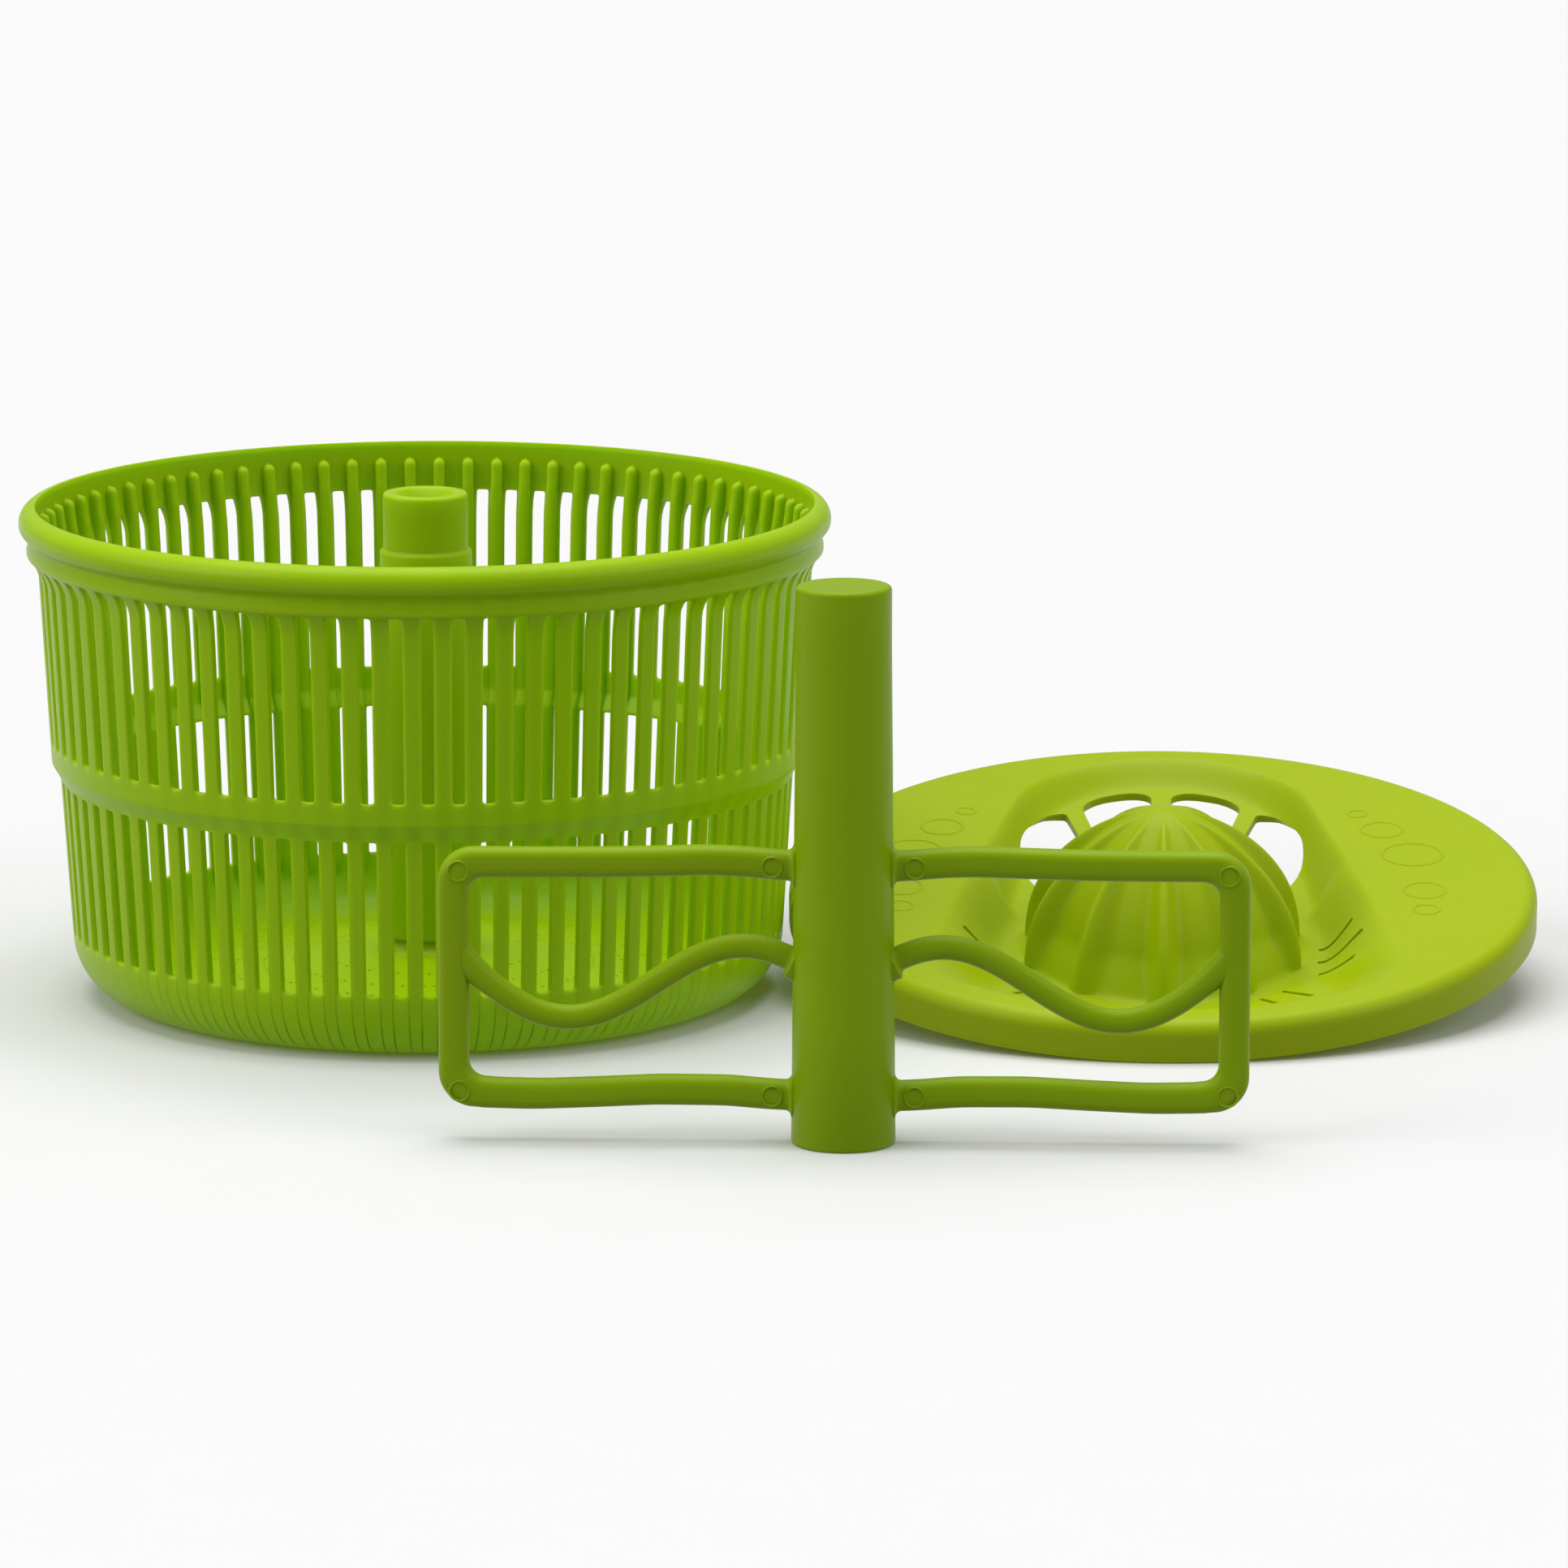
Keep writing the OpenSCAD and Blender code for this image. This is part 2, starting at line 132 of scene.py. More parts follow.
# juicer lid; places are from its centre, with y to the back
LID_R = 100.0
LID_EDGE_R = 4.0
SKIRT_H = 11.0
LID_T = 2.2
LID_Y = 11.0
LID_TILT = math.radians(10)
WELL_FRONT_R = 90.0
WELL_BACK_R = 40.0
WELL_BACK_Y = 50.0
WELL_CORNER_R = 20.0
WELL_CORNER_A = math.radians(53)
WELL_DEPTH = 14.5
REAMER_R = 38.5
REAMER_Y = -15.0
REAMER_TIP = 26.6
WELL_WALL_W = 9.5
WELL_SIDE_W = 26.0
WELL_SLOPE = 0.16
FLUTES = 10
FLUTE_DEPTH = 6.2
RIDGE_SHARPNESS = 9
WINDOW_R = 38.5
WINDOW_Y = 57.0
WINDOW_IN = 42.0
WINDOW_END_A = 40.0
WINDOW_ROUND_A = 5.0
WINDOW_ROUND_IN = 3.2
WINDOW_ROUND_OUT = 3.8
RIB_ANGLE = 16.0
RIB_SPREAD = 1.7
# narrow juice slots: angles off the front, and the reach of each from the reamer's axis
SLOT_ANGLES = (26.0, 38.0, 49.0, 68.0, 80.0, 92.0)
SLOT_RANGES = ((41.6, 48.5), (41.6, 49.5), (41.6, 52.0), (44.5, 54.5), (41.8, 54.0), (41.6, 50.5))
SLOT_SPREAD = 1.0
# embossed rings, the same on the left and the right: angle off the side, distance from the centre, radius
RING_MARKS = ((43.0, 72.9, 2.5), (32.4, 70.6, 5.6), (16.4, 70.2, 8.1),
              (-5.0, 70.0, 5.6), (-15.8, 72.5, 3.4))
RING_MARK_PROFILE = ((-0.45, -0.1), (-0.2, 0.2), (0.2, 0.2), (0.45, -0.1))


# ---- camera ----
def make_camera():
    """A long lens a little over two metres in front of the set, looking slightly down."""
    data = bpy.data.cameras.new("camera")
    data.lens = 202.36
    data.sensor_width = 36.0
    data.clip_start = 0.05
    data.clip_end = 50.0
    camera = bpy.data.objects.new("camera", data)
    camera.location = (0.17761, -2.3, 0.50847)
    camera.rotation_euler = (math.radians(90 - 11.126), 0, math.radians(2.056))
    bpy.context.scene.collection.objects.link(camera)
    bpy.context.scene.camera = camera


make_camera()
bpy.context.scene.view_settings.view_transform = "Standard"


# ---- materials ----
class Wire:
    """A node socket that takes part in sums, so that shader maths reads as plain maths."""

    def __init__(self, tree, socket):
        self.tree = tree
        self.socket = socket

    def maths(self, operation, a, b=None):
        inputs = {0: a} if b is None else {0: a, 1: b}
        return node(self.tree, "ShaderNodeMath", {"operation": operation}, inputs)

    def __add__(self, other):
        return self.maths("ADD", self, other)

    def __radd__(self, other):
        return self.maths("ADD", other, self)

    def __sub__(self, other):
        return self.maths("SUBTRACT", self, other)

    def __rsub__(self, other):
        return self.maths("SUBTRACT", other, self)

    def __mul__(self, other):
        return self.maths("MULTIPLY", self, other)

    def __rmul__(self, other):
        return self.maths("MULTIPLY", other, self)


def node(tree, kind, settings=None, inputs=None, output=0):
    """Adds one node: its settings first, then the values or links of its sockets."""
    made = tree.nodes.new(kind)
    for name, value in (settings or {}).items():
        setattr(made, name, value)
    for name, value in (inputs or {}).items():
        if isinstance(value, Wire):
            tree.links.new(value.socket, made.inputs[name])
        else:
            made.inputs[name].default_value = value
    return Wire(tree, made.outputs[output])


def noise(tree, place, scale, detail=2.0):
    """Soft noise over the piece; the scale counts its patches in a metre."""
    return node(tree, "ShaderNodeTexNoise", {}, {"Vector": place, "Scale": scale, "Detail": detail})


PLASTIC_IOR = 1.49
PLASTIC_SHEEN = 0.14
GLOW_REACH = (0.7, 1.0, 0.12)
SKIN_STRENGTH = 0.35
SKIN_DEPTH = 0.00006


def polypropylene(name, colour, deep, roughness, glow, glow_depth):
    """Soft-sheened moulded plastic that lets some light through, with faint flow marks and fine skin."""
    material = bpy.data.materials.new(name)
    material.use_nodes = True
    tree = material.node_tree
    tree.nodes.clear()
    place = node(tree, "ShaderNodeTexCoord", output=3)
    flow = noise(tree, place, 9.0, 3.0)
    cloud = noise(tree, place, 60.0, 3.0)
    skin = noise(tree, place, 900.0, 2.0)
    shade = (flow - 0.5) * 0.9 + (cloud - 0.5) * 0.35 + 0.3
    tone = node(tree, "ShaderNodeMix", {"data_type": "RGBA", "clamp_factor": True},
                {0: shade, 6: (*colour, 1), 7: (*deep, 1)}, output=2)
    rough = roughness + (cloud - 0.5) * 0.12 + (skin - 0.5) * 0.06
    bump = node(tree, "ShaderNodeBump", {}, {"Strength": SKIN_STRENGTH, "Distance": SKIN_DEPTH,
                                             "Height": skin + cloud * 0.6})
    shader = node(tree, "ShaderNodeBsdfPrincipled", {}, {
        "Base Color": tone, "Roughness": rough, "Normal": bump, "IOR": PLASTIC_IOR,
        "Specular IOR Level": PLASTIC_SHEEN,
        "Subsurface Weight": glow, "Subsurface Radius": GLOW_REACH,
        "Subsurface Scale": glow_depth})
    out = tree.nodes.new("ShaderNodeOutputMaterial")
    tree.links.new(shader.socket, out.inputs["Surface"])
    return material


def paper(name, colour):
    """Plain matt paper with a faint fibre."""
    material = bpy.data.materials.new(name)
    material.use_nodes = True
    tree = material.node_tree
    tree.nodes.clear()
    place = node(tree, "ShaderNodeTexCoord", output=3)
    fibre = noise(tree, place, 40.0)
    tone = node(tree, "ShaderNodeMix", {"data_type": "RGBA"},
                {0: fibre, 6: (*colour, 1), 7: (*(0.99 * c for c in colour), 1)}, output=2)
    shader = node(tree, "ShaderNodeBsdfPrincipled", {}, {"Base Color": tone, "Roughness": 0.9})
    out = tree.nodes.new("ShaderNodeOutputMaterial")
    tree.links.new(shader.socket, out.inputs["Surface"])
    return material


basket_green = polypropylene("basket_green", (0.36, 0.56, 0.0), (0.30, 0.50, 0.0), 0.34, 0.6, 0.006)
paddle_green = polypropylene("paddle_green", (0.27, 0.42, 0.0), (0.23, 0.37, 0.0), 0.36, 0.15, 0.002)
lid_green = polypropylene("lid_green", (0.38, 0.50, 0.002), (0.34, 0.46, 0.002), 0.38, 0.25, 0.003)
pivot_plastic = polypropylene("pivot_plastic", (0.86, 0.86, 0.82), (0.8, 0.8, 0.76), 0.45, 0.1, 0.001)


# ---- building mouldings ----
class Moulding:
    """Points and faces of one piece, collected in millimetres."""

    def __init__(self):
        self.points = []
        self.faces = []

    def add(self, points):
        start = len(self.points)
        self.points.extend(points)
        return start

    def ring_faces(self, start, rows, columns, skip=None):
        """Quads between neighbouring rings of points, each ring holding the same number."""
        for i in range(rows - 1):
            for j in range(columns):
                if skip and skip(i, j):
                    continue
                k = (j + 1) % columns
                a = start + i * columns
                b = a + columns
                self.faces.append((a + j, a + k, b + k, b + j))

    def close_rows(self, first, last, columns):
        """Quads from the last ring of points back to the first one."""
        for j in range(columns):
            k = (j + 1) % columns
            self.faces.append((last + j, last + k, first + k, first + j))

    def turned(self, profile, segments, closed_profile=True):
        """Turns a list of (radius, height) about the upright axis."""
        start = len(self.points)
        for r, z in profile:
            for j in range(segments):
                a = 2 * math.pi * j / segments
                self.points.append((r * math.cos(a), r * math.sin(a), z))
        rows = len(profile)
        self.ring_faces(start, rows, segments)
        if closed_profile:
            self.close_rows(start, start + (rows - 1) * segments, segments)

    def piece(self, name, material, body, nodes, sharp=50, place=None):
        """Makes the mesh, sets it on its body and lets it stand for the frame's nodes."""
        mesh = bpy.data.meshes.new(name)
        mesh.from_pydata([(x * MM, y * MM, z * MM) for x, y, z in self.points], [], self.faces)
        mesh.validate()
        made = bpy.data.objects.new(name, mesh)
        bpy.context.scene.collection.objects.link(made)
        if place is not None:
            mesh.transform(place)
        tidy_mesh(mesh, sharp)
        made.data.materials.append(material)
        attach(made, body)
        if nodes:
            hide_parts(*nodes)
        return made


def tidy_mesh(mesh, sharp):
    """Joins doubled points, drops loose ones, turns faces outwards and shades smooth up to an angle."""
    work = bmesh.new()
    work.from_mesh(mesh)
    bmesh.ops.remove_doubles(work, verts=work.verts, dist=0.002 * MM)
    bmesh.ops.dissolve_degenerate(work, edges=work.edges, dist=0.001 * MM)
    loose = [v for v in work.verts if not v.link_faces]
    bmesh.ops.delete(work, geom=loose, context="VERTS")
    bmesh.ops.recalc_face_normals(work, faces=work.faces)
    work.to_mesh(mesh)
    work.free()
    mesh.polygons.foreach_set("use_smooth", [True] * len(mesh.polygons))
    mesh.set_sharp_from_angle(angle=math.radians(sharp))


def arc(cx, cy, r, a0, a1, steps):
    """Points of an arc between two angles in degrees."""
    turn = [math.radians(a0 + (a1 - a0) * i / steps) for i in range(steps + 1)]
    return [(cx + r * math.cos(a), cy + r * math.sin(a)) for a in turn]


def curve_at(x, table):
    """Reads a table of (place, value) at a place, in straight lines between its points."""
    return float(np.interp(x, [p[0] for p in table], [p[1] for p in table]))


# ---- basket ----
def outer_wall_r(z):
    """The wall's outer radius: a curve sweeps out to the collar, and below it the wall is drafted."""
    if z > SWEEP_Z:
        sweep_h = COLLAR_Z - SWEEP_Z
        out = COLLAR_R - WALL_R
        sweep_r = (out * out + sweep_h * sweep_h) / (2 * out)
        return WALL_R + sweep_r - math.sqrt(sweep_r ** 2 - (z - SWEEP_Z) ** 2)
    return curve_at(z, [(CORNER_R, CORNER_TOP_R), (BELT_Z, UNDER_BELT_R),
                        (BELT_Z + BELT_SLOPE_H, BELT_R), (SWEEP_Z, WALL_R)])


def inner_wall_r(z):
    """The wall's inner radius, up to the mouth."""
    return curve_at(z, [(CORNER_R, CORNER_TOP_R - SHELL_T), (BELT_Z, UNDER_BELT_R - SHELL_T),
                        (BELT_Z + BELT_SLOPE_H, BELT_R - SHELL_T), (SWEEP_Z, WALL_R - SHELL_T),
                        (COLLAR_Z, LIP_IN_R - 0.6), (COLLAR_Z + 4, LIP_IN_R - 0.2), (BASKET_H, LIP_IN_R)])


def slot_levels(low, high):
    """Levels of one row of slots, with how much narrower the slot is there."""
    c = SLOT_CORNER
    ends = [(0.0, c), (0.29 * c, 0.29 * c), (c, 0.0)]
    middle = np.linspace(low + c, high - c, 12)[1:-1]
    return ([(low + z, n) for z, n in ends] + [(float(z), 0.0) for z in middle]
            + [(high - z, n) for z, n in reversed(ends)])


LOWER_SLOTS = slot_levels(CORNER_R + SLOT_MARGIN, BELT_Z - SLOT_MARGIN)
UPPER_SLOTS = slot_levels(BELT_TOP_Z, COLLAR_Z - SLOT_MARGIN)


def sector_columns(r, slot_half, rib_half):
    """Angles of the twelve points across one slot and slat, measured from the slat's middle."""
    pitch = 2 * math.pi / SLOTS
    spread_r = max(r, CORNER_TOP_R - 3)  # on the floor the points close up with the radius
    edge = pitch / 2 - slot_half / spread_r
    bevel = pitch / 2 - (slot_half + EDGE) / spread_r
    rib = [f * rib_half / spread_r for f in (-1, -0.92, -0.6, 0, 0.6, 0.92, 1)]
    return [-pitch / 2, -edge, -bevel, *rib, bevel, edge]


RIB_SHAPE = (0, 0, 0, 0, 0.62, 0.93, 1, 0.93, 0.62, 0, 0, 0)
EDGE_SHAPE = (1, 1, 0, 0, 0, 0, 0, 0, 0, 0, 0, 1)
COLUMNS = len(RIB_SHAPE)


def wall_row(r, z, slot_half, edge_in, rib_rise=0.0, rib_half=RIB_HALF):
    """One ring of points. edge_in pulls the slot's edges off the face; rib_rise lifts the rib inwards."""
    row = []
    offsets = sector_columns(r, slot_half, rib_half)
    for i in range(SLOTS):
        middle = 2 * math.pi * (i + 0.5) / SLOTS
        for k, offset in enumerate(offsets):
            here = r + edge_in * EDGE_SHAPE[k] - rib_rise * RIB_SHAPE[k]
            a = middle + offset
            row.append((here * math.cos(a), here * math.sin(a), z))
    return row


def rib_at(z):
    """How far the rib stands inwards at a level, and its half width there."""
    head = RIB_HEAD_Z - z
    foot = z - RIB_FOOT_Z
    depth = curve_at(z, [(RIB_FOOT_Z, RIB_PROUD), (SWEEP_Z, RIB_PROUD),
                         (COLLAR_Z, RIB_PROUD + 1.3), (RIB_HEAD_Z, RIB_PROUD + 0.7)])
    near = max(0.0, min(head, foot, RIB_HALF)) / RIB_HALF
    round_end = math.sqrt(1 - (1 - near) ** 2)
    return depth * round_end, RIB_HALF * max(round_end, 0.15)


def floor_level(r, top):
    """Level of the floor's top or under side, which rises from the base ring to the hub."""
    rise = (HUB_Z - FLOOR_T) * (RING_IN_R - r) / (RING_IN_R - COLUMN_R)
    if top:
        return FLOOR_T + rise
    return rise - (FLOOR_JOIN_STEP if r >= FLOOR_JOIN_R else 0.0)


def wall_levels():
    """Every level at which the wall has a ring of points, and how much narrower the slots are there."""
    belt_foot = BELT_Z + BELT_SLOPE_H
    plain = [CORNER_R, CORNER_R + 0.4, BELT_Z - 0.4, BELT_Z, BELT_Z + 0.5, BELT_Z + 2,
             belt_foot - 0.4, belt_foot, belt_foot + 0.5, BELT_TOP_Z - EDGE - 1, BELT_TOP_Z - EDGE,
             COLLAR_Z - SLOT_MARGIN + EDGE, COLLAR_Z - 0.1]
    narrow = dict(LOWER_SLOTS + UPPER_SLOTS)
    for above_sweep in (1, 2.5, 4, 5.3):
        narrow[SWEEP_Z + above_sweep] = 0.0
    return sorted(set(plain) | set(narrow)), narrow


def lip_outline():
    """The collar and the rolled lip, from the wall up to the mouth."""
    lip_foot = BASKET_H - LIP_H
    outline = [(COLLAR_R, COLLAR_Z + 0.15), (COLLAR_R, COLLAR_Z + 1.2),
               (COLLAR_R - 0.7, lip_foot - 0.3), (COLLAR_R - 0.75, lip_foot),
               (COLLAR_R - 0.5, lip_foot + 0.35)]
    outline += arc(LIP_R - LIP_ROLL_R, BASKET_H - 4.6, LIP_ROLL_R, -62, 0, 7)
    outline += arc(LIP_R - LIP_CROWN_R, BASKET_H - LIP_CROWN_R, LIP_CROWN_R, 8, 90, 10)
    return outline


def basket_wall(basket):
    """The slotted wall as one skin of rings: up the outside, over the lip and down the inside."""
    levels, narrow = wall_levels()
    rows, tags = [], []

    def put(r, z, slot_half, edge_in=0.0, rise=0.0, rib_half=RIB_HALF, tag=None):
        rows.append(wall_row(r, z, slot_half, edge_in, rise, rib_half))
        tags.append(tag)

    outline = [(r, floor_level(r, False)) for r in (FLOOR_JOIN_R, FLOOR_JOIN_R + 1)]
    outline += [(RING_IN_R, 0.0), (BASE_R - 2, 0.0)]
    outline += arc(BASE_R, CORNER_R, CORNER_R, -90, 0, 16)[:-1]
    for r, z in outline:
        put(r, z, SLOT_HALF_OUT)
    for z in levels:
        if z in narrow:
            put(outer_wall_r(z), z, SLOT_HALF_OUT - narrow[z], -EDGE, tag=("out", z))
        else:
            put(outer_wall_r(z), z, SLOT_HALF_OUT)
    for r, z in lip_outline():
        put(r, z, SLOT_HALF_OUT)

    put(LIP_IN_R + 0.2, BASKET_H - 0.25, SLOT_HALF_IN)
    above = [COLLAR_Z + 1.5, COLLAR_Z + 4, RIB_HEAD_Z + 0.2, BASKET_H - 1.6, BASKET_H - 0.8]
    above += [RIB_HEAD_Z - d for d in (2.4, 1.65, 1.1, 0.6, 0.25, 0.05)]
    for z in sorted(levels + above, reverse=True):
        rise, rib_half = rib_at(z)
        if z in narrow:
            put(inner_wall_r(z), z, SLOT_HALF_IN - narrow[z], EDGE, rise, rib_half, ("in", z))
        else:
            put(inner_wall_r(z), z, SLOT_HALF_IN, 0.0, rise, rib_half)
    for r, z in reversed(arc(BASE_R, CORNER_R, CORNER_R - SHELL_T, -90, 0, 14)[:-1]):
        rise, rib_half = rib_at(z) if z > RIB_FOOT_Z else (0.0, RIB_HALF)
        put(r, z, SLOT_HALF_IN, 0.0, rise, rib_half)
    for r in (RING_IN_R, FLOOR_JOIN_R + 1, FLOOR_JOIN_R):
        put(r, floor_level(r, True), SLOT_HALF_IN)
    slotted_skin(basket, rows, tags)


def slotted_skin(basket, rows, tags):
    """Faces of the wall's skin, left open at the slots, and the slots' own sides and ends."""
    count = SLOTS * COLUMNS
    start = basket.add([p for row in rows for p in row])
    place = {tag: i for i, tag in enumerate(tags) if tag}
    slot_rows = [[z for z, _ in slots] for slots in (LOWER_SLOTS, UPPER_SLOTS)]
    slot_rows[1] = sorted(z for side, z in place if side == "out" and z >= slot_rows[1][0])

    def is_open(i, j):
        if j % COLUMNS not in (0, COLUMNS - 1) or not tags[i] or not tags[i + 1]:
            return False
        (side, z), (other, y) = tags[i], tags[i + 1]
        return side == other and any(row[0] <= min(z, y) and max(z, y) <= row[-1] for row in slot_rows)

    basket.ring_faces(start, len(rows), count, is_open)
    for slot_row in slot_rows:
        for i in range(SLOTS):
            middle = i * COLUMNS
            left, right = (middle - 1) % count, middle + 1

            def at(side, z, column):
                return start + place[(side, z)] * count + column

            for z, y in zip(slot_row, slot_row[1:]):
                for column in (left, right):
                    basket.faces.append((at("out", z, column), at("out", y, column),
                                         at("in", y, column), at("in", z, column)))
            for z in (slot_row[0], slot_row[-1]):
                for a, b in ((left, middle), (middle, right)):
                    basket.faces.append((at("out", z, a), at("out", z, b),
                                         at("in", z, b), at("in", z, a)))


def pierced_ring(basket, r0, r1, cells):
    """One ring of the floor, made of cells with a small drain hole in each."""
    middle = (r0 + r1) / 2
    for i in range(cells):
        a0, a1 = 2 * math.pi * i / cells, 2 * math.pi * (i + 1) / cells
        am = (a0 + a1) / 2
        ring = [(r0, a0), (r0, am), (r0, a1), (middle, a1), (r1, a1), (r1, am), (r1, a0), (middle, a0)]
        for degrees in range(225, -91, -45):
            t = math.radians(degrees)
            ring.append((middle + HOLE_R * math.cos(t), am + HOLE_R * math.sin(t) / middle))
        top, under = (basket.add([(r * math.cos(a), r * math.sin(a), floor_level(r, on_top))
                                  for r, a in ring]) for on_top in (True, False))
        for m in range(8):
            n = (m + 1) % 8
            for s in (top, under):
                basket.faces.append((s + m, s + n, s + 8 + n, s + 8 + m))
            basket.faces.append((top + 8 + m, top + 8 + n, under + 8 + n, under + 8 + m))


def basket_floor(basket):
    """The pierced floor, and the hub with its fillet round the column."""
    for r in HOLE_RINGS:
        pierced_ring(basket, r, r + HOLE_RING_W, SLOTS)
    pierced_ring(basket, HUB_R, HOLE_RINGS[0], SLOTS // 2)
    hub = [(r, floor_level(r, True)) for r in (HUB_R, HUB_R - 4)]
    hub += [(HUB_FILLET_R + COLUMN_R + 0.05 + HUB_FILLET_R * math.cos(math.radians(a)),
             HUB_FILLET_Z + HUB_FILLET_R * math.sin(math.radians(a)))
            for a in (-98, -112, -126, -140, -154, -168, -180)]
    hub += [(COLUMN_R - 0.6, HUB_FILLET_Z), (COLUMN_R - 0.6, floor_level(COLUMN_R, False)),
            (HUB_R, floor_level(HUB_R, False))]
    basket.turned(hub, SLOTS, closed_profile=False)


def basket_column(basket):
    """The hollow column with its narrow drive end and the countersunk socket in its top."""
    top, step = COLUMN_TOP_Z, COLUMN_STEP_Z
    foot, socket_floor = HUB_Z - FLOOR_T, top - SOCKET_H
    profile = [(COLUMN_BORE_R, foot), (COLUMN_R, foot), (COLUMN_R, 40.0), (COLUMN_R, 80.0),
               (COLUMN_R, step - 1.0), (COLUMN_R - 0.1, step - 0.6), (DRIVE_R + 0.25, step),
               (DRIVE_R + 0.02, step + 0.2), (DRIVE_R, step + 0.6), (DRIVE_R, step + 8),
               (DRIVE_R, top - 1.0), (DRIVE_R - 0.12, top - 0.5), (DRIVE_R - 0.4, top - 0.15),
               (DRIVE_R - 0.9, top), (MOUTH_R + 0.5, top), (MOUTH_R + 0.15, top - 0.12),
               (MOUTH_R - 0.15, top - 0.4), (SOCKET_R + 0.2, top - MOUTH_H + 0.2),
               (SOCKET_R, top - MOUTH_H - 0.2), (SOCKET_R, socket_floor),
               (COLUMN_BORE_R, socket_floor), (COLUMN_BORE_R, 60.0)]
    basket.turned(profile, TURNED_STEPS)


def make_basket():
    basket = Moulding()
    basket_wall(basket)
    basket_floor(basket)
    basket_column(basket)
    basket.piece("basket_moulding", basket_green, "basket",
                 ("basket_rim", "upper_wall", "lower_wall", "floor_pan", "centre_column",
                  "column_drive_end", "drive_socket"))


# ---- mixing paddle ----
def paddle_shaft(paddle):
    """The hollow shaft: slightly tapered, straight at the top and closed by a shallow dish."""
    straight = SHAFT_H - SHAFT_TOP_H
    outside = [(SHAFT_BORE_R, 0.3), (SHAFT_BORE_R + 0.3, 0.0), (SHAFT_FOOT_R - 1.0, 0.0),
               (SHAFT_FOOT_R - 0.35, 0.2), (SHAFT_FOOT_R, 0.9), (SHAFT_FOOT_R - 0.3, 32.0),
               (SHAFT_FOOT_R - 0.75, 80.0), (SHAFT_TOP_R, straight), (SHAFT_TOP_R, SHAFT_H - 1.2)]
    outside += arc(SHAFT_TOP_R - 1.2, SHAFT_H - 1.2, 1.2, 15, 90, 5)
    outside += [(SHAFT_TOP_R - 2.2, SHAFT_H - 0.15), (5.0, SHAFT_H - 0.35), (0.0, SHAFT_H - 0.4),
                (0.0, SHAFT_H - 3.0), (SHAFT_BORE_R - 1.0, SHAFT_H - 3.0), (SHAFT_BORE_R, SHAFT_H - 4.0)]
    paddle.turned(outside, TURNED_STEPS)


def shaft_r(z):
    """The shaft's radius at a height, along its tapered part."""
    return SHAFT_FOOT_R + (SHAFT_TOP_R - SHAFT_FOOT_R) * z / (SHAFT_H - SHAFT_TOP_H)


def bar(paddle, side_a, side_b, thick, edge_r, side):
    """A moulded bar between two edge lines, with rounded edges. It flares where it meets the shaft."""
    ring = []
    for cx, cy, start in ((1, 1, 0), (-1, 1, 90), (-1, -1, 180), (1, -1, 270)):
        ring += [(cx, cy, math.radians(start + 90 * i / 4)) for i in range(5)]
    rows = []
    for i, ((ax, az), (bx, bz)) in enumerate(zip(side_a, side_b)):
        mx, mz = (ax + bx) / 2, (az + bz) / 2
        half = math.hypot(ax - bx, az - bz) / 2
        ux, uz = (ax - bx) / (2 * half), (az - bz) / (2 * half)
        gap = min(max(mx - shaft_r(mz), 0.0), FLARE_R)
        flare = FLARE_R - math.sqrt(FLARE_R ** 2 - (FLARE_R - gap) ** 2)
        for cx, cy, a in ring:
            u = cx * (half + flare - edge_r) + edge_r * math.cos(a)
            v = cy * (thick / 2 + flare * 0.6 - edge_r) + edge_r * math.sin(a)
            rows.append((side * (mx + ux * u), v, mz + uz * u))
    start = paddle.add(rows)
    columns = len(ring)
    paddle.ring_faces(start, len(side_a), columns)
    last = start + (len(side_a) - 1) * columns
    paddle.faces.append(tuple(start + j for j in range(columns)))
    paddle.faces.append(tuple(last + j for j in range(columns)))


# how far the wing's long arms leave a straight line, by distance from the axis
UPPER_SAG = [(10, -0.5), (16, -0.3), (24, 0.55), (33, 0.85), (45, 0.45), (58, 0.1), (75, 0.0), (92, 0.0)]
LOWER_SAG = [(10, -0.4), (18, -0.1), (28, 0.8), (45, 0.9), (60, 0.1), (74, -0.5), (84, -0.3), (92, 0.0)]


def smooth_table(table):
    """A denser table through the same points with its corners eased."""
    xs = np.linspace(table[0][0], table[-1][0], 160)
    ys = np.interp(xs, [p[0] for p in table], [p[1] for p in table])
    kernel = np.hanning(23)
    padded = np.pad(ys, 11, mode="edge")
    return list(zip(xs, np.convolve(padded, kernel / kernel.sum(), mode="valid")))


def near_shaft():
    """Close steps along a bar where it flares into the shaft."""
    return list(np.arange(COLUMN_R, 15.2, 0.25))


